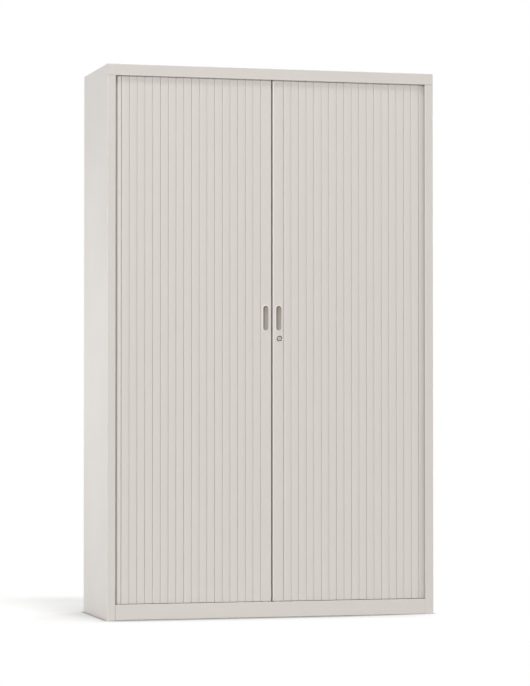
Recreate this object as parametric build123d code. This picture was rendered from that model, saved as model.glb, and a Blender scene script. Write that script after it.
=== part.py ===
from build123d import *
import os
from math import cos, radians, sin

# Steel tambour cupboard with two leaves of upright slats that part at the middle.
# X runs to the right, Y to the back, Z up. The origin is the middle of the base.

# Overall size
width = 1200.0
height = 1950.0
depth = 420.0
quarter_turn = 90.0

# Folded sheet of the carcass
sheet = 1.2
fold_radius = 1.2
seam = 0.3
stile_width = 30.0
stile_lip = 5.0
top_rail_height = 40.0
bottom_rail_height = 55.0
rail_lip = 4.0
rail_hem = 14.0
rear_flange = 18.0
side_foot_flange = 20.0
rail_foot_flange = 20.0
top_skirt = 24.0
floor_level = 40.0
skirt_floor_gap = 2.0

# Inner liner, which keeps the stored things off the curtain
liner_front_gap = 8.0
liner_rear_gap = 28.0
liner_corner_radius = 3.0
slot_pitch = 37.5
slot_height = 14.0
slot_width = 3.4
slot_first_step = 2
slot_top_margin = 60.0
clip_row_inset = 65.0

# Shelves
shelf_count = 4
steps_per_shelf = 10
shelf_front_gap = 24.0
shelf_rear_gap = 2.0
shelf_side_gap = 1.6
shelf_flange = 28.0
shelf_hem = 12.0
shelf_end_flange = 20.0

# Shelf clips
clip_sheet = 1.2
clip_width = 14.0
clip_ledge = 14.0
clip_back_height = 18.0
clip_drop = 12.0
clip_tab_width = 2.4
clip_tab_height = 9.0
clip_tab_reach = 2.4

# Curtain
slats_per_leaf = 18
curtain_setback = 9.0
slat_depth = 8.0
slat_wall = 1.8
slat_joint = 0.8
slat_edge_radius = 1.2
slat_knuckle = 3.2
slat_web_inset = 7.0
slat_tang_width = 10.0
slat_track_gap = 1.0
tang_gap = 0.4
centre_gap = 4.0
lead_width = 40.0
lead_depth = 11.0
lead_hem = 4.0
pocket_side_gap = 7.6
corner_headings = (12.0, 65.0)
side_slats = 3
tail_headings = corner_headings + (quarter_turn,) * side_slats

# Guide tracks
track_groove = 12.0
track_lip = 2.0
track_web = 2.0
track_lip_height = 8.0
track_corner_radius = 30.0

# Finger pulls
pull_width = 21.6
pull_length = 90.8
pull_depth = 8.0
pull_wall = 1.4
pull_rim = 3.2
pull_rim_proud = 0.6
pull_above_lock = 72.0
left_pull_inset = 21.0
right_pull_inset = 23.0

# Lock
lock_height = 989.0
lock_inset = 24.5
bezel_diameter = 23.0
bezel_proud = 1.6
barrel_diameter = 17.0
barrel_hole_gap = 0.1
barrel_length = 13.6
plug_diameter = 13.0
plug_gap = 0.05
plug_recess = 0.4
key_slot_length = 8.0
key_slot_width = 1.6
key_slot_depth = 4.0
tail_square = 7.0
tail_fit = 0.05
tail_screw_diameter = 9.0
tail_screw_head = 2.0
hook_sheet = 2.5
hook_gap = 0.4
hook_hub_radius = 8.0
hook_arm_width = 10.0
hook_inner_radius = 36.5
hook_outer_radius = 42.0
hook_lead_angle = 20.0

# Keeper for the lock's hook, on the left leaf
keeper_sheet = 1.6
keeper_setback = 2.0
keeper_base_width = 32.0
keeper_length = 84.0
keeper_reach = 10.0
keeper_slot_gap = 0.7
keeper_slot_end_gap = 1.0

# Levelling feet
foot_inset_x = 55.0
foot_inset_y = 60.0
foot_pad_diameter = 40.0
foot_pad_height = 10.0
foot_stud_diameter = 10.0
foot_nut_across = 17.0
foot_nut_height = 8.0
foot_stud_sink = 0.4
foot_hole_gap = 0.5

# Planes that the pieces share
side = width / 2
front = -depth / 2
rear = depth / 2
opening_half = side - stile_width
opening_top = height - top_rail_height
curtain_front = front + curtain_setback
track_front = curtain_front + slat_depth / 2
liner_front = track_front + track_groove / 2 + track_lip + liner_front_gap
liner_rear = rear - sheet - seam - sheet - liner_rear_gap
track_rear = liner_rear + sheet + (liner_rear_gap - sheet) / 2
side_run = side - sheet - pocket_side_gap - slat_depth / 2
leaf_start = centre_gap / 2
corner_reach = sum(cos(radians(heading)) for heading in corner_headings)
slat_pitch = (side_run - leaf_start - lead_width) / (slats_per_leaf + corner_reach)
liner_half = opening_half + sheet
track_base = floor_level + track_web
track_top = height - sheet - track_web
slat_bottom = track_base + track_lip_height + slat_track_gap
slat_top = track_top - track_lip_height - slat_track_gap
clip_front_row = liner_front + clip_row_inset
clip_rear_row = liner_rear - clip_row_inset
pull_height = lock_height + pull_above_lock
barrel_back = curtain_front + barrel_length
hook_front = barrel_back + hook_gap
hook_back = hook_front + hook_sheet


def box(x0, x1, y0, y1, z0, z1):
    """Block between two corners, given in any order."""
    spans = [sorted(pair) for pair in ((x0, x1), (y0, y1), (z0, z1))]
    sizes = [high - low for low, high in spans]
    centre = [(high + low) / 2 for low, high in spans]
    return Pos(*centre) * Box(*sizes)


def sheet_profile(points, plane, radius=fold_radius):
    """Cross-section of folded sheet that follows the points at mid-thickness."""
    line = FilletPolyline(*points, radius=radius)
    return plane * trace(line, sheet)


def folded_plan(points, z0, z1, radius=fold_radius):
    """Upright folded sheet: its plan is drawn in X and Y."""
    return Pos(0, 0, z0) * extrude(sheet_profile(points, Plane.XY, radius), z1 - z0)


def folded_section(points, x0, x1):
    """Level folded sheet: its section is drawn in Y and Z."""
    return Pos(x0, 0, 0) * extrude(sheet_profile(points, Plane.YZ), x1 - x0)


def mirrored(shape):
    return mirror(shape, about=Plane.YZ)


def save(name, shape):
    shape = shape if isinstance(shape, Solid) else Compound(children=list(shape.solids()))
    export_step(shape, os.path.join("parts", name + ".step"))


# Carcass

def side_panel():
    """Right side with its front stile and rear flange folded from one sheet."""
    mid = sheet / 2
    points = [
        (opening_half + mid, front + stile_lip),
        (opening_half + mid, front + mid),
        (side - mid, front + mid),
        (side - mid, rear - mid),
        (side - rear_flange, rear - mid),
    ]
    top = height - sheet - seam
    panel = folded_plan(points, 0, top)
    stile_end = opening_top - seam
    rail_room = box(opening_half, side, front, front + sheet + seam, stile_end, top)
    lip_room = box(opening_half, side - sheet, front, front + stile_lip, stile_end, top)
    foot = box(side - side_foot_flange, side - mid, front + stile_lip, rear - sheet, 0, sheet)
    return panel - rail_room - lip_room + foot


def top_panel():
    """Top sheet with the front rail, its turned lip, the rear flange and two skirts."""
    mid = sheet / 2
    lip_back = front + rail_lip - mid
    skirt_bottom = height - sheet - top_skirt
    points = [
        (rear - mid, skirt_bottom),
        (rear - mid, height - mid),
        (front + mid, height - mid),
        (front + mid, opening_top + mid),
        (lip_back, opening_top + mid),
        (lip_back, opening_top + rail_hem),
    ]
    panel = folded_section(points, -side, side)
    flange_end = side - rear_flange - seam
    lip_end = side - sheet - seam
    for end in (-1, 1):
        panel -= box(end * flange_end, end * side, rear - sheet - seam, rear, 0, height - sheet)
        panel -= box(end * lip_end, end * side, front + sheet, rear, 0, height - sheet)
        panel += box(end * (lip_end - sheet), end * lip_end, front + rail_lip + seam,
                     rear - sheet - seam - sheet, skirt_bottom, height - mid)
    return panel


def base_pan():
    """Floor of the cupboard with the front rail folded up, over and down to the ground."""
    mid = sheet / 2
    lip_back = front + rail_lip - mid
    back_edge = rear - sheet - seam - sheet - seam
    floor = floor_level - mid
    points = [
        (front + rail_foot_flange, mid),
        (front + mid, mid),
        (front + mid, bottom_rail_height - mid),
        (lip_back, bottom_rail_height - mid),
        (lip_back, floor),
        (back_edge - mid, floor),
        (back_edge - mid, skirt_floor_gap),
    ]
    rail_end = opening_half - seam
    pan = folded_section(points, -rail_end, rail_end)
    wing_end = side - sheet - seam
    wing_front = front + stile_lip + seam
    for end in (-1, 1):
        pan += box(end * rail_end, end * wing_end, wing_front, back_edge, floor_level - sheet, floor_level)
        pan += box(end * (wing_end - sheet), end * wing_end, wing_front, back_edge,
                   skirt_floor_gap, floor_level)
    for x, y in foot_places():
        hole = Cylinder(foot_stud_diameter / 2 + foot_hole_gap, sheet + 2 * seam)
        pan -= Pos(x, y, floor_level - mid) * hole
    return pan


def back_panel():
    edge = side - sheet - seam
    face = rear - sheet - seam
    return box(-edge, edge, face - sheet, face, sheet + seam, height - sheet - seam)


def slot_levels():
    """Heights of the clip slots, counted in steps up from the floor."""
    levels = []
    step = slot_first_step
    while slot_level(step) < height - slot_top_margin:
        levels.append(slot_level(step))
        step += 1
    return levels


def slot_level(step):
    return floor_level - clip_drop + slot_pitch * step


def inner_liner():
    """U-shaped wrap behind which the curtain runs along the sides and the back."""
    mid = sheet / 2
    wall = liner_half - mid
    back = liner_rear + mid
    points = [(-wall, liner_front), (-wall, back), (wall, back), (wall, liner_front)]
    liner = folded_plan(points, floor_level, height - sheet - seam, liner_corner_radius)
    slot = Box(liner_half * 2 + sheet, slot_width, slot_height)
    places = [Pos(0, row, level) for row in (clip_front_row, clip_rear_row) for level in slot_levels()]
    return liner - [place * slot for place in places]


# Shelves

def shelf_top(number):
    return floor_level + slot_pitch * steps_per_shelf * number


def shelf(number):
    """Pan with flanges turned down on all four edges and hems at front and back."""
    mid = sheet / 2
    top = shelf_top(number)
    face = liner_front + shelf_front_gap
    back = liner_rear - shelf_rear_gap
    low = top - shelf_flange + mid
    points = [
        (face + shelf_hem, low),
        (face + mid, low),
        (face + mid, top - mid),
        (back - mid, top - mid),
        (back - mid, low),
        (back - shelf_hem, low),
    ]
    end_face = opening_half - shelf_side_gap
    pan = folded_section(points, -end_face, end_face)
    for end in (-1, 1):
        pan += box(end * (end_face - sheet), end * end_face, face + mid, back - mid,
                   top - shelf_end_flange, top - mid)
    return pan


def shelf_clip(row, top):
    """Clip on the right wall: back plate, ledge for the shelf and tab through the slot."""
    wall = opening_half
    level = top - clip_drop
    ledge_top = top - shelf_end_flange
    back_plate = box(wall - clip_sheet, wall, row - clip_width / 2, row + clip_width / 2,
                     ledge_top - clip_sheet, ledge_top - clip_sheet + clip_back_height)
    ledge = box(wall - clip_ledge, wall, row - clip_width / 2, row + clip_width / 2,
                ledge_top - clip_sheet, ledge_top)
    tab = box(wall - clip_sheet, wall + sheet + clip_tab_reach, row - clip_tab_width / 2,
              row + clip_tab_width / 2, level - clip_tab_height / 2, level + clip_tab_height / 2)
    return back_plate + ledge + tab


def shelf_clips():
    clips = []
    for number in range(1, shelf_count + 1):
        for row in (clip_front_row, clip_rear_row):
            clip = shelf_clip(row, shelf_top(number))
            clips += [clip, mirrored(clip)]
    return clips


# Guide tracks

def track_ring(outer, inner, z0, z1):
    """Ring between two outlines that follow the curtain's path at the given offsets."""
    long_run = track_rear - track_front

    def outline(offset):
        radius = track_corner_radius + offset
        return RectangleRounded(2 * (side_run + offset), long_run + 2 * offset, radius)

    middle = (track_front + track_rear) / 2
    return Pos(0, middle, z0) * extrude(outline(outer) - outline(inner), z1 - z0)


def track(web_z0, web_z1, lip_z0, lip_z1):
    """Channel round the inside of the carcass, in which the slats' tangs run."""
    groove = track_groove / 2
    edge = groove + track_lip
    web = track_ring(edge, -edge, web_z0, web_z1)
    outer_lip = track_ring(edge, groove, lip_z0, lip_z1)
    inner_lip = track_ring(-groove, -edge, lip_z0, lip_z1)
    return web + outer_lip + inner_lip


def bottom_track():
    return track(floor_level, track_base, track_base, track_base + track_lip_height)


def top_track():
    return track(track_top, track_top + track_web, track_top - track_lip_height, track_top)


# Curtain slats

def flat(x0, x1, y0, y1):
    """Rectangle between two corners, in a slat's own plan."""
    return Pos((x0 + x1) / 2, (y0 + y1) / 2) * Rectangle(x1 - x0, y1 - y0)


def soften_front(profile):
    """Round the two front corners of a slat's plan."""
    corners = profile.vertices().sort_by(Axis.Y)[:2]
    return fillet(corners, slat_edge_radius)


def slat_profile():
    """Plan of a slat from X 0 at its joint to the pitch, with the front face at Y 0."""
    start = slat_joint / 2
    end = slat_pitch - slat_joint / 2
    face = flat(start, end, 0, slat_wall)
    first_web = flat(start + slat_web_inset, start + slat_web_inset + slat_wall, 0, slat_depth)
    last_web = flat(end - slat_wall, end, 0, slat_depth)
    knuckle = flat(end - slat_wall, end + slat_knuckle, slat_depth - slat_wall, slat_depth)
    return soften_front(face + first_web + last_web + knuckle)


def lead_profile():
    """Plan of the wide slat at the middle of the cupboard, stiffened by deeper webs."""
    end = lead_width - slat_joint / 2
    face = flat(0, end, 0, slat_wall)
    first_web = flat(0, slat_wall, 0, lead_depth)
    last_web = flat(end - slat_wall, end, 0, lead_depth)
    first_hem = flat(0, lead_hem, lead_depth - slat_wall, lead_depth)
    last_hem = flat(end - lead_hem, end, lead_depth - slat_wall, lead_depth)
    knuckle = flat(end - slat_wall, end + slat_knuckle, slat_depth - slat_wall, slat_depth)
    return soften_front(face + first_web + last_web + first_hem + last_hem + knuckle)


def upright(profile, tang_middle):
    """Slat of the given plan with a tang at each end for the tracks."""
    body = Pos(0, 0, slat_bottom) * extrude(profile, slat_top - slat_bottom)
    half = slat_tang_width / 2
    low = box(tang_middle - half, tang_middle + half, 0, slat_wall, track_base + tang_gap, slat_bottom)
    high = box(tang_middle - half, tang_middle + half, 0, slat_wall, slat_top, track_top - tang_gap)
    return body + low + high


def plain_slat():
    return upright(slat_profile(), slat_pitch / 2)


def lead_slat():
    return upright(lead_profile(), lead_width / 2)


def slat_place(number):
    """Where slat 1, 2, 3 of the right leaf starts along the front."""
    return Pos(leaf_start + lead_width + slat_pitch * (number - 1), curtain_front, 0)


def tail_slats(slat):
    """Slats that stay round the corner when the right leaf is shut."""
    x = leaf_start + lead_width + slat_pitch * slats_per_leaf
    y = track_front
    placed = []
    for heading in tail_headings:
        turn = Pos(x, y, 0) * Rot(0, 0, heading) * Pos(0, -slat_depth / 2, 0)
        placed.append(turn * slat)
        x += slat_pitch * cos(radians(heading))
        y += slat_pitch * sin(radians(heading))
    return placed


# Finger pulls

def pull_outline(outset):
    """Upright obround of the pull, larger all round by the outset."""
    across = pull_width + 2 * outset
    long_way = pull_length + 2 * outset
    return SlotOverall(long_way, across, rotation=quarter_turn)


def pull_solid(outset, y0, y1):
    """The pull's outline carried through from one depth to another."""
    sketch = Plane.XZ.offset(-y0) * pull_outline(outset)
    return Pos(0, 0, pull_height) * extrude(sketch, -(y1 - y0))


def finger_pull():
    """Cup with a thin rim that lies on the face of the lead slat."""
    rim_face = curtain_front - pull_rim_proud
    cup_back = curtain_front + pull_depth
    rim = pull_solid(pull_rim, rim_face, curtain_front)
    cup = pull_solid(0, rim_face, cup_back)
    hollow = pull_solid(-pull_wall, rim_face, cup_back - pull_wall)
    return rim + cup - hollow


# Lock

def disc(radius, y0, y1):
    """Round bar along Y at the lock's height."""
    middle = (y0 + y1) / 2
    return Pos(0, middle, lock_height) * Rot(quarter_turn, 0, 0) * Cylinder(radius, y1 - y0)


def lock_housing():
    bezel = disc(bezel_diameter / 2, curtain_front - bezel_proud, curtain_front)
    barrel = disc(barrel_diameter / 2, curtain_front, barrel_back)
    bore = disc(plug_diameter / 2 + plug_gap, curtain_front - bezel_proud, barrel_back)
    return bezel + barrel - bore


def tail_bar(size, y0, y1):
    """Square bar along Y at the lock's height."""
    half = size / 2
    return box(-half, half, y0, y1, lock_height - half, lock_height + half)


def lock_plug():
    """Plug with its keyway, square tail and the screw that holds the hook."""
    face = curtain_front - bezel_proud + plug_recess
    plug = disc(plug_diameter / 2, face, barrel_back)
    keyway = box(-key_slot_width / 2, key_slot_width / 2, face, face + key_slot_depth,
                 lock_height - key_slot_length / 2, lock_height + key_slot_length / 2)
    tail = tail_bar(tail_square - 2 * tail_fit, barrel_back, hook_back)
    screw = disc(tail_screw_diameter / 2, hook_back, hook_back + tail_screw_head)
    return plug + tail + screw - keyway


def hook_point(radius, angle):
    """Point on the hook's face at an angle from straight down towards the left leaf."""
    return (-radius * sin(radians(angle)), -radius * cos(radians(angle)))


def lock_hook():
    """Hook that hangs down when unlocked and turns a quarter turn into the keeper."""
    arm = Pos(0, -hook_outer_radius / 2) * Rectangle(hook_arm_width, hook_outer_radius)
    hub = Circle(hook_hub_radius)
    nose = make_face([
        RadiusArc(hook_point(hook_outer_radius, 0), hook_point(hook_outer_radius, hook_lead_angle),
                  -hook_outer_radius),
        Line(hook_point(hook_outer_radius, hook_lead_angle), hook_point(hook_inner_radius, hook_lead_angle)),
        RadiusArc(hook_point(hook_inner_radius, hook_lead_angle), hook_point(hook_inner_radius, 0),
                  hook_inner_radius),
        Line(hook_point(hook_inner_radius, 0), hook_point(hook_outer_radius, 0)),
    ])
    reach = Circle(hook_outer_radius)
    face = (arm + hub + nose) & reach
    face -= Rectangle(tail_square, tail_square)
    sketch = Plane.XZ.offset(-hook_front) * face
    return Pos(0, 0, lock_height) * extrude(sketch, -hook_sheet)


def keeper_plate():
    """Angle behind the left lead slat with the slot that the hook turns into."""
    edge = -leaf_start - keeper_setback
    upright_back = edge - keeper_sheet
    seat = curtain_front + lead_depth
    base = box(edge, edge - keeper_base_width, seat, seat + keeper_sheet,
               lock_height - keeper_length / 2, lock_height + keeper_length / 2)
    wall = box(edge, upright_back, seat, seat + keeper_reach,
               lock_height - keeper_length / 2, lock_height + keeper_length / 2)
    pivot = leaf_start + lock_inset
    across = pivot - edge
    sweep = (hook_outer_radius ** 2 - across ** 2) ** 0.5
    slot = box(edge + seam, upright_back - seam, hook_front - keeper_slot_gap, hook_back + keeper_slot_gap,
               lock_height - sweep - keeper_slot_end_gap,
               lock_height + hook_arm_width / 2 + keeper_slot_end_gap)
    return base + wall - slot


# Leaves

def right_lead_slat(slat):
    placed = Pos(leaf_start, curtain_front, 0) * slat
    pull_hole = pull_solid(0, curtain_front - seam, curtain_front + slat_wall + seam)
    barrel_hole = disc(barrel_diameter / 2 + barrel_hole_gap, curtain_front - seam,
                       curtain_front + slat_wall + seam)
    placed -= Pos(leaf_start + right_pull_inset, 0, 0) * pull_hole
    return placed - Pos(leaf_start + lock_inset, 0, 0) * barrel_hole


def left_lead_slat(slat):
    placed = mirrored(Pos(leaf_start, curtain_front, 0) * slat)
    pull_hole = pull_solid(0, curtain_front - seam, curtain_front + slat_wall + seam)
    return placed - Pos(-leaf_start - left_pull_inset, 0, 0) * pull_hole


# Levelling feet

def foot_places():
    x = side - foot_inset_x
    y = rear - foot_inset_y
    return [(-x, -y), (x, -y), (-x, y), (x, y)]


def levelling_foot():
    """Pad, the nut that the floor sheet rests on, and a stud that ends inside the floor's hole."""
    pad = Pos(0, 0, foot_pad_height / 2) * Cylinder(foot_pad_diameter / 2, foot_pad_height)
    stud_height = floor_level - foot_stud_sink
    stud = Pos(0, 0, stud_height / 2) * Cylinder(foot_stud_diameter / 2, stud_height)
    nut_sketch = RegularPolygon(foot_nut_across / 2, side_count=6, major_radius=False)
    nut = Pos(0, 0, floor_level - sheet - foot_nut_height) * extrude(nut_sketch, foot_nut_height)
    return pad + stud + nut


def levelling_feet():
    foot = levelling_foot()
    return [Pos(x, y, 0) * foot for x, y in foot_places()]


def group(solids):
    """Several like pieces that share one node and stay separate solids."""
    return Compound(children=[piece.solid() for piece in solids])


os.makedirs("parts", exist_ok=True)

right_side = side_panel()
save("right_side_panel", right_side)
save("left_side_panel", mirrored(right_side))
save("top_panel", top_panel())
save("base_pan", base_pan())
save("back_panel", back_panel())
save("inner_liner", inner_liner())
save("bottom_track", bottom_track())
save("top_track", top_track())
for shelf_number in range(1, shelf_count + 1):
    save(f"shelf_{shelf_number}", shelf(shelf_number))
save("shelf_clips", group(shelf_clips()))
save("levelling_feet", group(levelling_feet()))

one_slat = plain_slat()
for slat_number in range(1, slats_per_leaf + 1):
    right_slat = slat_place(slat_number) * one_slat
    save(f"right_slat_{slat_number:02d}", right_slat)
    save(f"left_slat_{slat_number:02d}", mirrored(right_slat))
right_tail = tail_slats(one_slat)
save("right_tail_slats", group(right_tail))
save("left_tail_slats", group([mirrored(piece) for piece in right_tail]))

one_lead = lead_slat()
save("right_lead_slat", right_lead_slat(one_lead))
save("left_lead_slat", left_lead_slat(one_lead))
save("right_finger_pull", Pos(leaf_start + right_pull_inset, 0, 0) * finger_pull())
save("left_finger_pull", Pos(-leaf_start - left_pull_inset, 0, 0) * finger_pull())
lock_place = Pos(leaf_start + lock_inset, 0, 0)
save("lock_housing", lock_place * lock_housing())
save("lock_plug", lock_place * lock_plug())
save("lock_hook", lock_place * lock_hook())
save("keeper_plate", keeper_plate())
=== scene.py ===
from math import cos, pi, radians, sin

import bmesh
import bpy
from mathutils import Matrix, Vector


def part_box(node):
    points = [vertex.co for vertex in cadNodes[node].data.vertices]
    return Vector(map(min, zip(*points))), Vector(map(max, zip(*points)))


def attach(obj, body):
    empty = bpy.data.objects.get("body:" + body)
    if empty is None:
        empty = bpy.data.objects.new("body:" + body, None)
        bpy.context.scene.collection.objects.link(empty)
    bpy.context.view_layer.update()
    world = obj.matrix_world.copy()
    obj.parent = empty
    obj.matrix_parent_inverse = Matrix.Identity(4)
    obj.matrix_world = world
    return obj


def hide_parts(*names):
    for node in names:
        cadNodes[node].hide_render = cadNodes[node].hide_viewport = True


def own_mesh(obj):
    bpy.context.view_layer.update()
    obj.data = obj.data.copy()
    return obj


# Tall steel cupboard with two leaves of upright slats. Metres, X to the right, Y to the back, Z up.

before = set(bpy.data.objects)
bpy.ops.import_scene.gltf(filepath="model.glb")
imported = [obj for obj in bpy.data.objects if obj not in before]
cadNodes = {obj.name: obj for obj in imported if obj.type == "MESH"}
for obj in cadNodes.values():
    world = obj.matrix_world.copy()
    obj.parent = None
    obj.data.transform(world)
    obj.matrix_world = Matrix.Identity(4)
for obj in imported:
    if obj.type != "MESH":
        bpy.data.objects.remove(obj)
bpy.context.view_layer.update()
bpy.ops.object.select_all(action="DESELECT")
mm = 0.001
print("frame loaded")


# Materials

def linear(hexColour):  # sRGB hex to the linear colour that the shader takes
    channels = [int(hexColour[i:i + 2], 16) / 255 for i in (0, 2, 4)]
    return [c / 12.92 if c <= 0.04045 else ((c + 0.055) / 1.055) ** 2.4 for c in channels] + [1.0]


def addNode(tree, kind, settings=None, links=None):  # settings name a value of the node or one of its sockets
    node = tree.nodes.new(kind)
    for name, value in (settings or {}).items():
        if isinstance(name, str) and hasattr(node, name):
            setattr(node, name, value)
        else:
            node.inputs[name].default_value = value
    for name, source in (links or {}).items():
        tree.links.new(source, node.inputs[name])
    return node


def newMaterial(name, **sockets):
    material = bpy.data.materials.new(name)
    material.use_nodes = True
    shader = material.node_tree.nodes["Principled BSDF"]
    for socket, value in sockets.items():
        shader.inputs[socket.replace("_", " ")].default_value = value
    return material, material.node_tree, shader


pattern = {"detail": 2.0, "rough": 0.5, "middle": (0.3, 0.7)}  # most of a noise's values lie in the middle


def patterned(name, tones, gloss, drift, relief, height, along=1.0, **sockets):
    # One noise shifts the colour and the gloss, and a second one raises the surface. drift and relief are the
    # distances between their blotches, height is how far the surface rises, and an along under 1 draws the
    # second noise out upwards
    material, tree, shader = newMaterial(name, **sockets)
    place = addNode(tree, "ShaderNodeTexCoord").outputs["Object"]
    drawn = addNode(tree, "ShaderNodeMapping", {"Scale": (1, 1, along)}, {"Vector": place}).outputs["Vector"]
    shift, rise = [
        addNode(tree, "ShaderNodeTexNoise", {"Scale": 1 / size, "Detail": pattern["detail"],
                                             "Roughness": pattern["rough"]}, {"Vector": where}).outputs["Fac"]
        for size, where in ((drift, place), (relief, drawn))]
    colour = addNode(tree, "ShaderNodeMix", {"data_type": "RGBA", 6: linear(tones[0]), 7: linear(tones[1])},
                     {0: shift})
    low, high = pattern["middle"]
    rough = addNode(tree, "ShaderNodeMapRange", {"From Min": low, "From Max": high, "To Min": gloss[0],
                                                 "To Max": gloss[1]}, {"Value": shift})
    bump = addNode(tree, "ShaderNodeBump", {"Strength": 1.0, "Distance": height}, {"Height": rise})
    tree.links.new(colour.outputs[2], shader.inputs["Base Color"])
    tree.links.new(rough.outputs["Result"], shader.inputs["Roughness"])
    tree.links.new(bump.outputs["Normal"], shader.inputs["Normal"])
    return material


# Polyester powder baked on steel sheet: a soft gloss over a faint orange peel. The real peel is about 1.5 mm
# across, too fine to show, so it is drawn at 4 mm
carcassPaint = patterned("PowderCoatedSteelLightGrey", ("D4CEC9", "D2CCC7"), gloss=(0.28, 0.36),
                         drift=260 * mm, relief=4 * mm, height=0.02 * mm, IOR=1.5)
# Rigid vinyl drawn through a die: satin, with faint lines that run the way it was drawn. They are spaced as
# wide as they need to show
slatPlastic = patterned("ExtrudedVinylLightGrey", ("D5CFCA", "D3CDC8"), gloss=(0.28, 0.36),
                        drift=180 * mm, relief=2.5 * mm, height=0.012 * mm, along=0.004, IOR=1.53)
# Plastic moulded against a spark-eroded tool: matt, with a fine even grain. The real grain is under 0.2 mm,
# too fine to show, so it is drawn at 3 mm. The track is extruded and a little glossier
grain = {"drift": 3 * mm, "relief": 3 * mm, "height": 0.03 * mm, "IOR": 1.49}
# The pull's cup is taupe darkened as painted shade in its recess, and its rim is lighter than the slats as a
# painted highlight
pullTaupeAndPaintedShade = patterned("MouldedPolypropyleneTaupePaintedShade", ("9E968E", "9A928A"), gloss=(0.45, 0.60), **grain)
rimGreyAndPaintedHighlight = patterned("MouldedPolypropyleneLightGreyPaintedHighlight", ("E0DBD4", "DDD8D1"), gloss=(0.45, 0.60), **grain)
trackPlastic = patterned("ExtrudedTrackVinylGrey", ("C2BEB8", "BDB9B3"), gloss=(0.38, 0.50), **grain)
footPlastic = patterned("MouldedNylonBlack", ("1E1E1F", "262627"), gloss=(0.50, 0.65), **grain)
# Bright plating over cast or rolled metal: a cloudy shine with fine handling marks
plating = {"along": 0.15, "Metallic": 1.0}
nickelPlate = patterned("NickelPlatedZincCasting", ("CFC9C0", "C4BEB5"), gloss=(0.22, 0.34),
                        drift=6 * mm, relief=1.2 * mm, height=0.01 * mm, **plating)
# The same plating darkened as painted shade, for the dish inside the lock's ring
nickelPaintedShade = patterned("NickelCastingPaintedShade", ("7A736A", "6E675F"), gloss=(0.30, 0.42),
                       drift=4 * mm, relief=1.2 * mm, height=0.02 * mm, **plating)
zincPlate = patterned("ZincPlatedSteelSheet", ("B4B7BA", "A6A9AD"), gloss=(0.30, 0.45),
                      drift=9 * mm, relief=1.5 * mm, height=0.01 * mm, **plating)


def paint(obj, material):
    obj.data.materials.clear()
    obj.data.materials.append(material)


for material, names in (
        (carcassPaint, ("top_panel", "left_side_panel", "right_side_panel", "back_panel", "base_pan",
                        "inner_liner", "shelf_1", "shelf_2", "shelf_3", "shelf_4")),
        (zincPlate, ("shelf_clips", "lock_hook", "keeper_plate")),
        (trackPlastic, ("bottom_track", "top_track")),
        (footPlastic, ("levelling_feet",))):
    for name in names:
        paint(cadNodes[name], material)
print("materials made")


# Ways of shaping

shaping = {
    "near": 0.05 * mm,  # two places this close count as one
    "merge": 0.001 * mm,  # corners this close are made one
    "straight": 0.9,  # least part of a normal that points straight one way
    "tall": 0.5,  # an upright edge of a slat is longer than this
    "smoothAngle": 35, "discSteps": 48,
}


def onlySelect(obj):
    bpy.ops.object.select_all(action="DESELECT")
    bpy.context.view_layer.objects.active = obj
    obj.select_set(True)


def openShape(obj):
    onlySelect(obj)
    bpy.ops.object.mode_set(mode="EDIT")


def closeShape():
    bpy.ops.object.mode_set(mode="OBJECT")
    bpy.ops.object.select_all(action="DESELECT")


def fixPlace(obj):  # the object goes back to the origin and its place goes into the mesh
    onlySelect(obj)
    bpy.ops.object.transform_apply(location=True, rotation=True, scale=True)
    return obj


def startBlock(name, low, high):
    bpy.ops.object.select_all(action="DESELECT")
    size = [b - a for a, b in zip(low, high)]
    middle = [(a + b) / 2 for a, b in zip(low, high)]
    bpy.ops.mesh.primitive_cube_add(size=1, location=middle, scale=size)
    block = bpy.context.object
    block.name = name
    return fixPlace(block)


def pick(obj, kind, test):  # of the open shape's corners, edges or faces, those that pass the test
    bpy.ops.mesh.select_mode(type=kind)
    bpy.ops.mesh.select_all(action="DESELECT")
    mesh = bmesh.from_edit_mesh(obj.data)
    for part in {"VERT": mesh.verts, "EDGE": mesh.edges, "FACE": mesh.faces}[kind]:
        part.select_set(bool(test(part)))
    bmesh.update_edit_mesh(obj.data)


def pickFaces(obj, test):  # test is asked with each face's middle and normal
    pick(obj, "FACE", lambda face: test(face.calc_center_median(), face.normal))


def pickEdges(obj, test):  # test is asked with the edge's two ends
    pick(obj, "EDGE", lambda edge: test(edge.verts[0].co, edge.verts[1].co))


def points(normal, way):  # whether a normal points straight one way, such as "+y"
    along = normal["xyz".index(way[1])]
    return (along if way[0] == "+" else -along) > shaping["straight"]


def near(a, b):
    return abs(a - b) < shaping["near"]


def cutAcross(point, normal):
    bpy.ops.mesh.select_all(action="SELECT")
    bpy.ops.mesh.bisect(plane_co=point, plane_no=normal)


def pull(x=0.0, y=0.0, z=0.0):  # draws out what is picked
    bpy.ops.mesh.extrude_region_move(TRANSFORM_OT_translate={"value": (x, y, z)})


def turnOutwards():
    bpy.ops.mesh.select_all(action="SELECT")
    bpy.ops.mesh.normals_make_consistent(inside=False)


def smooth(obj, angle=shaping["smoothAngle"]):
    onlySelect(obj)
    bpy.ops.object.shade_smooth_by_angle(angle=radians(angle))
    bpy.ops.object.select_all(action="DESELECT")


def cutWith(obj, cutter):
    onlySelect(obj)
    step = obj.modifiers.new("Cut", "BOOLEAN")
    step.operation = "DIFFERENCE"
    step.solver = "EXACT"
    step.object = cutter
    bpy.ops.object.modifier_apply(modifier=step.name)
    bpy.data.objects.remove(cutter)


def copyOf(original, name, move):
    copy = original.copy()
    copy.data = original.data.copy()
    copy.name = name
    copy.data.name = name
    bpy.context.scene.collection.objects.link(copy)
    copy.data.transform(move)
    return copy


def leftTwin(original, name):  # the original goes, and the twin's faces are turned to point outwards again
    twin = copyOf(original, name, Matrix.Scale(-1, 4, (1, 0, 0)))
    twin.data.flip_normals()
    bpy.data.objects.remove(original)
    return twin


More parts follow.
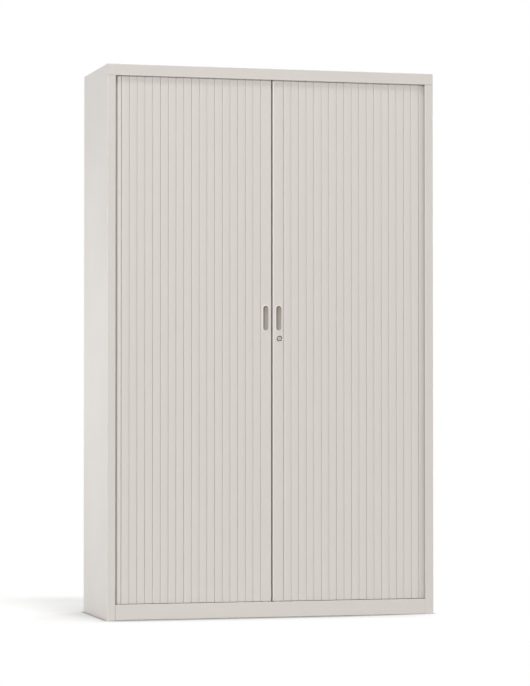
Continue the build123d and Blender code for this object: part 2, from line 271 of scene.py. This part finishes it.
def joined(name, parts):
    bpy.ops.object.select_all(action="DESELECT")
    for part in parts:
        part.select_set(True)
    bpy.context.view_layer.objects.active = parts[0]
    bpy.ops.object.join()
    parts[0].name = name
    parts[0].data.name = name
    bpy.ops.object.select_all(action="DESELECT")
    return parts[0]


# Curtain slats

curtainSlat = {
    "count": 18, "joint": 0.8 * mm, "seam": 1.0 * mm, "wall": 1.8 * mm, "depth": 8 * mm, "webInset": 7 * mm,
    "knuckle": 3.2 * mm, "wideShoulder": 2.2 * mm, "narrowShoulder": 1.2 * mm, "shoulderSteps": 6,
    "flatten": 2, "headTang": 8.6 * mm, "footTang": 13.8 * mm, "footTangBack": 3.2 * mm, "tangEnd": 19 * mm,
}
slatLow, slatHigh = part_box("right_slat_01")
curtainFront = slatLow.y
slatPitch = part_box("right_slat_02")[0].x - slatLow.x
lastSlat = f"right_slat_{curtainSlat['count']:02d}"


def verticalAt(x, y):  # picks the long upright edge that stands at this place
    return lambda a, b: (all(near(end.x, x) and near(end.y, y) for end in (a, b))
                         and abs(a.z - b.z) > shaping["tall"])


def makeSlat(name, startShoulder, endShoulder):
    s = curtainSlat
    start, end = s["seam"] / 2, slatPitch - s["seam"] / 2
    low, high = slatLow.z + s["footTang"], slatHigh.z - s["headTang"]
    # The plate is made thick, rounded, and flattened, so that its shoulders are wide and shallow
    slat = startBlock(name, (start, 0, low), (end, s["wall"] * s["flatten"], high))
    openShape(slat)
    for x, shoulder in ((start, startShoulder), (end, endShoulder)):
        pickEdges(slat, verticalAt(x, 0))
        bpy.ops.mesh.bevel(offset=shoulder, segments=s["shoulderSteps"], profile=0.5)
    bpy.ops.mesh.select_all(action="SELECT")
    bpy.ops.transform.resize(value=(1, 1 / s["flatten"], 1), center_override=(0, 0, 0))
    webs = [(start + s["webInset"], start + s["webInset"] + s["wall"]), (end - s["wall"], end)]
    for x in (webs[0][0], webs[0][1], s["tangEnd"], webs[1][0]):
        cutAcross((x, 0, 0), (1, 0, 0))
    pickFaces(slat, lambda middle, normal: points(normal, "+y") and any(a < middle.x < b for a, b in webs))
    pull(y=s["depth"] - 2 * s["wall"])
    pull(y=s["wall"])
    pickFaces(slat, lambda middle, normal: points(normal, "+x") and near(middle.x, end)
              and middle.y > s["depth"] - s["wall"])
    pull(x=s["knuckle"])
    pickFaces(slat, lambda middle, normal: points(normal, "+z") and webs[0][1] < middle.x < s["tangEnd"])
    pull(z=s["headTang"])
    # The foot's tang is the web's front drawn on, so that a dark line shows under the slats' faces
    cutAcross((0, s["footTangBack"], 0), (0, 1, 0))
    pickFaces(slat, lambda middle, normal: points(normal, "-z") and webs[0][0] < middle.x < webs[0][1]
              and s["wall"] < middle.y < s["footTangBack"])
    pull(z=-s["footTang"])
    closeShape()
    paint(slat, slatPlastic)
    smooth(slat)
    return slat


def foldInto(slat):  # the slat gets a mesh of its own
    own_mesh(slat)


def placeSlats(original, leaf, side):
    for number in range(1, curtainSlat["count"] + 1):
        node = f"{leaf}_slat_{number:02d}"
        low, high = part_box(node)
        start = low.x if side > 0 else high.x
        shift = (start - side * curtainSlat["joint"] / 2, curtainFront, 0)
        slat = copyOf(original, f"{leaf}_curtain_slat_{number:02d}", Matrix.Translation(shift))
        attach(slat, node)
        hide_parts(node)
        foldInto(slat)


cornerTurns = (12, 65, 90, 90, 90)  # how far each slat is turned round the corner and along the side


def placeTail(original, leaf, side):
    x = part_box(lastSlat)[0].x - curtainSlat["joint"] / 2 + slatPitch
    y = curtainFront + curtainSlat["depth"] / 2
    parts = []
    for turn in cornerTurns:
        move = (Matrix.Translation((side * x, y, 0)) @ Matrix.Rotation(radians(side * turn), 4, "Z")
                @ Matrix.Translation((0, -curtainSlat["depth"] / 2, 0)))
        parts.append(copyOf(original, f"{leaf}_tail_part", move))
        x += slatPitch * cos(radians(turn))
        y += slatPitch * sin(radians(turn))
    tail = joined(f"{leaf}_tail_of_curtain", parts)
    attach(tail, "cabinet")
    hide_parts(f"{leaf}_tail_slats")


# Both leaves have the wide shoulder on the left of each slat, as it shows in the light
wide, narrow = curtainSlat["wideShoulder"], curtainSlat["narrowShoulder"]
leaves = (
    (makeSlat("right_slat_pattern", wide, narrow), "right", 1),
    (leftTwin(makeSlat("unturned_slat_pattern", narrow, wide), "left_slat_pattern"), "left", -1),
)
for original, leaf, side in leaves:
    placeSlats(original, leaf, side)
for original, leaf, side in leaves:
    placeTail(original, leaf, side)
    bpy.data.objects.remove(original)
print("curtain slats made")


# Round and obround shapes that face the front

def startDisc(name, radius, x, y, z):  # a flat disc, its first corner half a step round
    steps = shaping["discSteps"]
    bpy.ops.object.select_all(action="DESELECT")
    bpy.ops.mesh.primitive_circle_add(vertices=steps, radius=radius, fill_type="NGON", location=(x, y, z),
                                      rotation=(pi / 2, -pi / steps, 0))
    disc = bpy.context.object
    disc.name = name
    return fixPlace(disc)


def startObround(name, width, length, x, y, z):  # a disc whose upper and lower halves move apart
    shape = startDisc(name, width / 2, x, y, z)
    openShape(shape)
    for way in (1, -1):
        pick(shape, "VERT", lambda corner: way * (corner.co.z - z) > 0)
        bpy.ops.transform.translate(value=(0, 0, way * (length - width) / 2))
    closeShape()
    return shape


def insetFace(depth, thickness):  # thickness is inwards across the face, depth is along its normal
    bpy.ops.mesh.inset(thickness=thickness, depth=depth, use_even_offset=True)


# Sizes of the finger pulls and the lock, for which the lead slats are cut too

fingerPull = {
    "width": 21.6 * mm, "length": 90.8 * mm, "height": 1061 * mm,
    "insets": {"left": 21 * mm, "right": 23 * mm},
    "rim": 3.2 * mm, "rimSide": 0.35 * mm, "wall": 1.4 * mm, "depth": 8 * mm, "smoothAngle": 50,
    # Steps of the rim's outer edge and of its inner lip: across, and forwards or inwards
    "rimEdge": ((0.12 * mm, 0.13 * mm), (0.25 * mm, 0.12 * mm)),
    "lip": ((0.30 * mm, 0.08 * mm), (0.25 * mm, 0.25 * mm)),
    "floorRound": 3.6 * mm, "backRound": 2 * mm,
    "arc": ((0.08, 0.38), (0.21, 0.33), (0.33, 0.21), (0.38, 0.08)),  # a quarter round in four steps
}
lock = {
    "x": 26.5 * mm, "z": 989 * mm, "hole": 17.2 * mm, "steps": 48,
    # Turned outlines in mm: distance from the axis, and distance behind the curtain's face
    "housing": ((11.5, 0), (11.5, -1.0), (11.3, -1.4), (10.9, -1.6), (10.2, -1.6), (9.9, -1.45), (9.0, -0.5),
                (8.6, -0.4), (8.2, 0.2), (7.9, 1.2), (6.55, 1.2), (6.55, 13.6), (8.5, 13.6), (8.5, 0)),
    "plug": ((0, -1.2), (5.7, -1.2), (6.3, -1.0), (6.5, -0.7), (6.5, 13.6), (0, 13.6)),
    "screw": ((0, 16.3), (4.5, 16.3), (4.5, 17.7), (3.4, 18.3), (0, 18.5)),
    "paintedShadeReach": 9.7 * mm,  # the housing is darkened as painted shade inside this distance from the axis
    # Width, height, and the front and back behind the curtain's face
    "keyway": (1.6 * mm, 8 * mm, -2 * mm, 2.8 * mm), "tail": (6.9 * mm, 6.9 * mm, 13.2 * mm, 16.5 * mm),
    "cross": (1.2 * mm, 5 * mm, 17.5 * mm, 20 * mm),
}


# Lead slats

leadSlat = {
    "width": 40 * mm, "gap": 2 * mm, "play": 0.5 * mm, "wall": 1.8 * mm, "depth": 11 * mm, "rib": 4 * mm,
    "noses": {"left": 2 * mm, "right": 5 * mm}, "noseSteps": 8, "shoulder": 1.7 * mm, "shoulderSteps": 5,
    # The knuckle's front, back and reach, and the two ends of the tangs
    "knuckle": (6.2 * mm, 8 * mm, 3.2 * mm), "tang": (15 * mm, 25 * mm),
    "cutAhead": 2 * mm, "cutDepth": 6 * mm,  # where a cutter starts, ahead of the face, and its whole depth
}


def makeLead(leaf):
    s = leadSlat
    low, high = slatLow.z + curtainSlat["footTang"], slatHigh.z - curtainSlat["headTang"]
    end = s["width"] - curtainSlat["joint"] / 2
    lead = startBlock("lead_pattern", (s["play"], 0, low), (end, s["depth"], high))
    openShape(lead)
    pickEdges(lead, verticalAt(s["play"], 0))
    bpy.ops.mesh.bevel(offset=s["noses"][leaf], segments=s["noseSteps"], profile=0.5)
    pickEdges(lead, verticalAt(end, 0))
    bpy.ops.mesh.bevel(offset=s["shoulder"], segments=s["shoulderSteps"], profile=0.5)
    for x in (s["rib"], end - s["rib"]):
        cutAcross((x, 0, 0), (1, 0, 0))
    for z in (low + s["rib"], high - s["rib"]):
        cutAcross((0, 0, z), (0, 0, 1))
    pickFaces(lead, lambda middle, normal: points(normal, "+y") and s["rib"] < middle.x < end - s["rib"]
              and low + s["rib"] < middle.z < high - s["rib"])
    pull(y=s["wall"] - s["depth"])
    inner, outer, reach = s["knuckle"]
    for y in (s["wall"], inner, outer):
        cutAcross((0, y, 0), (0, 1, 0))
    pickFaces(lead, lambda middle, normal: points(normal, "+x") and near(middle.x, end)
              and inner < middle.y < outer)
    pull(x=reach)
    for x in s["tang"]:
        cutAcross((x, 0, 0), (1, 0, 0))
    onTang = lambda middle: s["tang"][0] < middle.x < s["tang"][1]
    pickFaces(lead, lambda middle, normal: points(normal, "+z") and onTang(middle) and middle.y < s["wall"])
    pull(z=curtainSlat["headTang"])
    pickFaces(lead, lambda middle, normal: points(normal, "-z") and onTang(middle)
              and s["wall"] < middle.y < inner)
    pull(z=-curtainSlat["footTang"])
    closeShape()
    return lead


def cutterThrough(disc):  # a flat outline becomes a bar through the lead slat's face
    openShape(disc)
    bpy.ops.mesh.select_all(action="SELECT")
    pull(y=leadSlat["cutDepth"])
    turnOutwards()
    closeShape()
    return disc


def placeLead(original, leaf, side):
    shift = (side * leadSlat["gap"], curtainFront, 0)
    lead = copyOf(original, f"{leaf}_leading_slat", Matrix.Translation(shift))
    bpy.data.objects.remove(original)
    pullX = side * (leadSlat["gap"] + fingerPull["insets"][leaf])
    front = curtainFront - leadSlat["cutAhead"]
    cutWith(lead, cutterThrough(startObround("pull_cutter", fingerPull["width"], fingerPull["length"],
                                             pullX, front, fingerPull["height"])))
    if leaf == "right":
        cutWith(lead, cutterThrough(startDisc("lock_cutter", lock["hole"] / 2, lock["x"], front, lock["z"])))
    paint(lead, slatPlastic)
    smooth(lead)
    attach(lead, f"{leaf}_leaf")
    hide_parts(f"{leaf}_lead_slat")


placeLead(makeLead("right"), "right", 1)
placeLead(leftTwin(makeLead("left"), "left_lead_pattern"), "left", -1)
print("lead slats made")


# Finger pulls

def tint(obj, materials, which):  # which says, for a face's middle, the number of its material
    obj.data.materials.clear()
    for material in materials:
        obj.data.materials.append(material)
    for face in obj.data.polygons:
        face.material_index = which(face.center)


def roundIn(radius, outwards):  # the picked face shrinks and moves on along a quarter round
    for inwards, onwards in fingerPull["arc"]:
        insetFace(radius * onwards * outwards, radius * inwards)


def makePull(leaf, side):
    s = fingerPull
    x = side * (leadSlat["gap"] + s["insets"][leaf])
    cup = startObround(f"{leaf}_pull_cup", s["width"] + 2 * s["rim"], s["length"] + 2 * s["rim"],
                       x, curtainFront, s["height"])
    openShape(cup)
    bpy.ops.mesh.select_mode(type="FACE")
    bpy.ops.mesh.select_all(action="SELECT")
    pull(y=-s["rimSide"])
    for across, forwards in s["rimEdge"]:
        insetFace(forwards, across)
    edge = sum(across for across, forwards in s["rimEdge"])
    lip = sum(across for across, inwards in s["lip"])
    insetFace(0, s["rim"] + s["wall"] - edge - lip)
    for across, inwards in s["lip"]:
        insetFace(-inwards, across)
    front = s["rimSide"] + sum(forwards for across, forwards in s["rimEdge"])
    lipDepth = sum(inwards for across, inwards in s["lip"])
    pull(y=front - lipDepth + s["depth"] - s["wall"] - s["floorRound"])
    roundIn(s["floorRound"], -1)
    pickFaces(cup, lambda middle, normal: points(normal, "+y") and near(middle.y, curtainFront))
    insetFace(0, s["rim"])
    pull(y=s["depth"] - s["backRound"])
    roundIn(s["backRound"], 1)
    turnOutwards()
    closeShape()
    # Faces behind the curtain's face take the darker taupe, painted shade in the recess; the rim in front
    # takes the lighter grey, a painted highlight
    tint(cup, (pullTaupeAndPaintedShade, rimGreyAndPaintedHighlight), lambda middle: int(middle.y < curtainFront))
    smooth(cup, s["smoothAngle"])
    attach(cup, f"{leaf}_leaf")
    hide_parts(f"{leaf}_finger_pull")


makePull("left", -1)
makePull("right", 1)
print("finger pulls made")


# Lock

def closeSeams():
    bpy.ops.mesh.select_all(action="SELECT")
    bpy.ops.mesh.remove_doubles(threshold=shaping["merge"])


def turned(name, outline):  # a closed outline, drawn corner by corner and spun about the lock's axis
    corners = [Vector((lock["x"] + reach * mm, curtainFront + behind * mm, lock["z"]))
               for reach, behind in outline]
    bpy.ops.object.select_all(action="DESELECT")
    bpy.ops.mesh.primitive_plane_add(size=mm, location=corners[0])
    piece = fixPlace(bpy.context.object)
    piece.name = name
    openShape(piece)
    bpy.ops.mesh.select_mode(type="VERT")
    bpy.ops.mesh.select_all(action="SELECT")
    bpy.ops.mesh.merge(type="CENTER")
    for here, there in zip(corners, corners[1:] + corners[:1]):
        pull(*(there - here))
    closeSeams()
    bpy.ops.mesh.select_all(action="SELECT")
    bpy.ops.mesh.spin(steps=lock["steps"], angle=2 * pi, center=(lock["x"], 0, lock["z"]), axis=(0, 1, 0))
    closeSeams()
    bpy.ops.mesh.delete_loose()
    turnOutwards()
    closeShape()
    return piece


def lockBlock(name, width, height, front, back):  # a block centred on the lock's axis
    low = (lock["x"] - width / 2, curtainFront + front, lock["z"] - height / 2)
    high = (lock["x"] + width / 2, curtainFront + back, lock["z"] + height / 2)
    return startBlock(name, low, high)


def makeHousing():
    housing = turned("lock_bezel_and_barrel", lock["housing"])
    reach = lambda middle: (Vector((lock["x"], 0, lock["z"])) - Vector((middle.x, 0, middle.z))).length
    # Inside the ring the housing takes the darker nickel, painted shade in the dish round the plug
    tint(housing, (nickelPlate, nickelPaintedShade), lambda middle: int(reach(middle) < lock["paintedShadeReach"]))
    smooth(housing)
    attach(housing, "right_leaf")
    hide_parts("lock_housing")


def makePlug():
    plug = turned("lock_plug_front", lock["plug"])
    cutWith(plug, lockBlock("keyway_cutter", *lock["keyway"]))
    tail = lockBlock("lock_tail", *lock["tail"])
    screw = turned("lock_screw", lock["screw"])
    width, length, front, back = lock["cross"]
    for size in ((width, length), (length, width)):
        cutWith(screw, lockBlock("cross_cutter", *size, front, back))
    whole = joined("lock_plug_with_tail", [plug, tail, screw])
    paint(whole, nickelPlate)
    smooth(whole)
    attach(whole, "lock_core")
    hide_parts("lock_plug")


makeHousing()
makePlug()
print("lock made")


# Floor, light and camera

paper = {
    "size": 60.0, "colour": "C4C4C3", "rough": 0.9, "lift": 0.50, "samples": 16,
    # The shade round the cupboard: how far it reaches, and what is left of the light at its deepest
    "shadeReach": 0.4, "shadeLeast": 0.44,
    # The line of painted shade where the cupboard stands: its reach at the side and ahead, and how dark it
    # is. It widens ahead between two Y values and narrows to the right between two X values
    "lineReach": 0.018, "lineReachAhead": 0.08, "lineDepth": 1.75,
    "lineWidens": (-0.205, -0.212), "lineNarrows": (0.57, 0.20),
    # The paper is white beyond a distance from the shadow's middle, ahead of a Y and to the right of an X
    "shadeMiddle": (-0.9, -0.5, 0), "whiteRound": (1.42, 1.67), "whiteAhead": (-0.25, -0.38),
    "whiteBeside": (0.40, 0.62),
}


def shownRays(tree):  # 1 for rays from the camera, a gloss or a glass, which see the white background
    path = addNode(tree, "ShaderNodeLightPath")
    shown = addNode(tree, "ShaderNodeMath", {"operation": "MAXIMUM"},
                    {0: path.outputs["Is Camera Ray"], 1: path.outputs["Is Glossy Ray"]})
    return addNode(tree, "ShaderNodeMath", {"operation": "MAXIMUM"},
                   {0: shown.outputs[0], 1: path.outputs["Is Transmission Ray"]})


def makePaper():
    # Matt white paper: it takes the shadow beside the cupboard, and is plain white ahead and further off
    material, tree, shader = newMaterial("SeamlessPaperWhite", Base_Color=linear(paper["colour"]),
                                         Roughness=paper["rough"], Specular_IOR_Level=0.0)
    place = addNode(tree, "ShaderNodeTexCoord").outputs["Object"]
    axes = addNode(tree, "ShaderNodeSeparateXYZ", {}, {0: place}).outputs
    widen, narrow = [
        addNode(tree, "ShaderNodeMapRange", {"From Min": start, "From Max": end, "To Min": paper["lineReach"],
                                             "To Max": paper["lineReachAhead"]}, {"Value": axes[axis]})
        for axis, (start, end) in (("Y", paper["lineWidens"]), ("X", paper["lineNarrows"]))]
    reach = addNode(tree, "ShaderNodeMath", {"operation": "MINIMUM"},
                    {0: widen.outputs[0], 1: narrow.outputs[0]})
    close = addNode(tree, "ShaderNodeAmbientOcclusion", {"samples": paper["samples"]},
                    {"Distance": reach.outputs[0]})
    around = addNode(tree, "ShaderNodeAmbientOcclusion",
                    {"samples": paper["samples"], "Distance": paper["shadeReach"]})
    line = addNode(tree, "ShaderNodeMath", {"operation": "POWER", 1: paper["lineDepth"]},
                   {0: close.outputs["AO"]})
    soft = addNode(tree, "ShaderNodeMapRange", {"To Min": paper["shadeLeast"]},
                   {"Value": around.outputs["AO"]})
    shade = addNode(tree, "ShaderNodeMath", {"operation": "MULTIPLY"},
                    {0: line.outputs[0], 1: soft.outputs[0]})
    lift = addNode(tree, "ShaderNodeEmission", {"Strength": paper["lift"]})
    lit = addNode(tree, "ShaderNodeAddShader", {}, {0: shader.outputs[0], 1: lift.outputs[0]})
    dark = addNode(tree, "ShaderNodeEmission", {"Strength": 0.0})
    shaded = addNode(tree, "ShaderNodeMixShader", {},
                     {0: shade.outputs[0], 1: dark.outputs[0], 2: lit.outputs[0]})
    white = addNode(tree, "ShaderNodeEmission", {}, {"Strength": line.outputs[0]})
    far = addNode(tree, "ShaderNodeVectorMath", {"operation": "DISTANCE", 1: paper["shadeMiddle"]},
                  {0: place})
    start, end = paper["whiteRound"]
    whiteness = addNode(tree, "ShaderNodeMapRange",
                        {"interpolation_type": "SMOOTHSTEP", "From Min": start, "From Max": end},
                        {"Value": far.outputs["Value"]})
    for axis, (start, end) in (("Y", paper["whiteAhead"]), ("X", paper["whiteBeside"])):
        past = addNode(tree, "ShaderNodeMapRange", {"From Min": start, "From Max": end},
                       {"Value": axes[axis]})
        whiteness = addNode(tree, "ShaderNodeMath", {"operation": "MAXIMUM"},
                            {0: whiteness.outputs[0], 1: past.outputs[0]})
    seen = addNode(tree, "ShaderNodeMixShader", {},
                   {0: whiteness.outputs[0], 1: shaded.outputs[0], 2: white.outputs[0]})
    whole = addNode(tree, "ShaderNodeMixShader", {},
                    {0: shownRays(tree).outputs[0], 1: shader.outputs[0], 2: seen.outputs[0]})
    tree.links.new(whole.outputs[0], tree.nodes["Material Output"].inputs["Surface"])
    return material


def makeFloor():
    bpy.ops.object.select_all(action="DESELECT")
    bpy.ops.mesh.primitive_plane_add(size=paper["size"], location=(0, 0, 0))
    floor = bpy.context.object
    floor.name = "floor"
    floor.data.materials.append(makePaper())


room = {"white": (1, 1, 1, 1), "ambient": 0.25, "background": 1.0}


def makeWorld():
    world = bpy.data.worlds.new("studio")
    world.use_nodes = True
    tree = world.node_tree
    ambient = tree.nodes["Background"]
    ambient.inputs["Color"].default_value = room["white"]
    ambient.inputs["Strength"].default_value = room["ambient"]
    white = addNode(tree, "ShaderNodeBackground", {"Color": room["white"], "Strength": room["background"]})
    mix = addNode(tree, "ShaderNodeMixShader", {},
                  {0: shownRays(tree).outputs[0], 1: ambient.outputs[0], 2: white.outputs[0]})
    tree.links.new(mix.outputs[0], tree.nodes["World Output"].inputs["Surface"])
    bpy.context.scene.world = world


lamps = {
    "key_left": {"place": (-17.5, -21.3, 9.0), "target": (0, 0, 1.0), "size": 3.4, "power": 5130},
    "top_front": {"place": (0.6, -5.7, 17.0), "target": (0, 0, 1.0), "size": 3.3, "power": 1290},
    "back_right": {"place": (5.5, 6.5, 1.6), "target": (0, 0, 1.0), "size": 3.0, "power": 340},
    "side_left": {"place": (-1.8, 0.1, 0.95), "target": (0, 0, 0.95), "size": 0.7, "power": 4.2},
}


def addLamp(name, place, target, size, power):
    bpy.ops.object.light_add(type="AREA", location=place)
    lamp = bpy.context.object
    lamp.name = name
    lamp.data.shape = "DISK"
    lamp.data.size = size
    lamp.data.energy = power
    lamp.rotation_euler = (Vector(target) - Vector(place)).to_track_quat("-Z", "Y").to_euler()


photoCamera = {
    "place": (-2.537, -9.558, 0.770), "yaw": 15.02, "pitch": 1.20, "lens": 143.0, "sensor": 36, "sight": 200,
}


def makeCamera():
    bpy.ops.object.camera_add(location=photoCamera["place"])
    camera = bpy.context.object
    camera.rotation_euler = (radians(90 + photoCamera["pitch"]), 0, radians(-photoCamera["yaw"]))
    camera.data.sensor_width = photoCamera["sensor"]
    camera.data.lens = photoCamera["lens"]
    camera.data.clip_end = photoCamera["sight"]
    bpy.context.scene.camera = camera


makeFloor()
makeWorld()
for name, lamp in lamps.items():
    addLamp(name, **lamp)
makeCamera()
bpy.context.scene.view_settings.view_transform = "Standard"
print("floor, light and camera set")
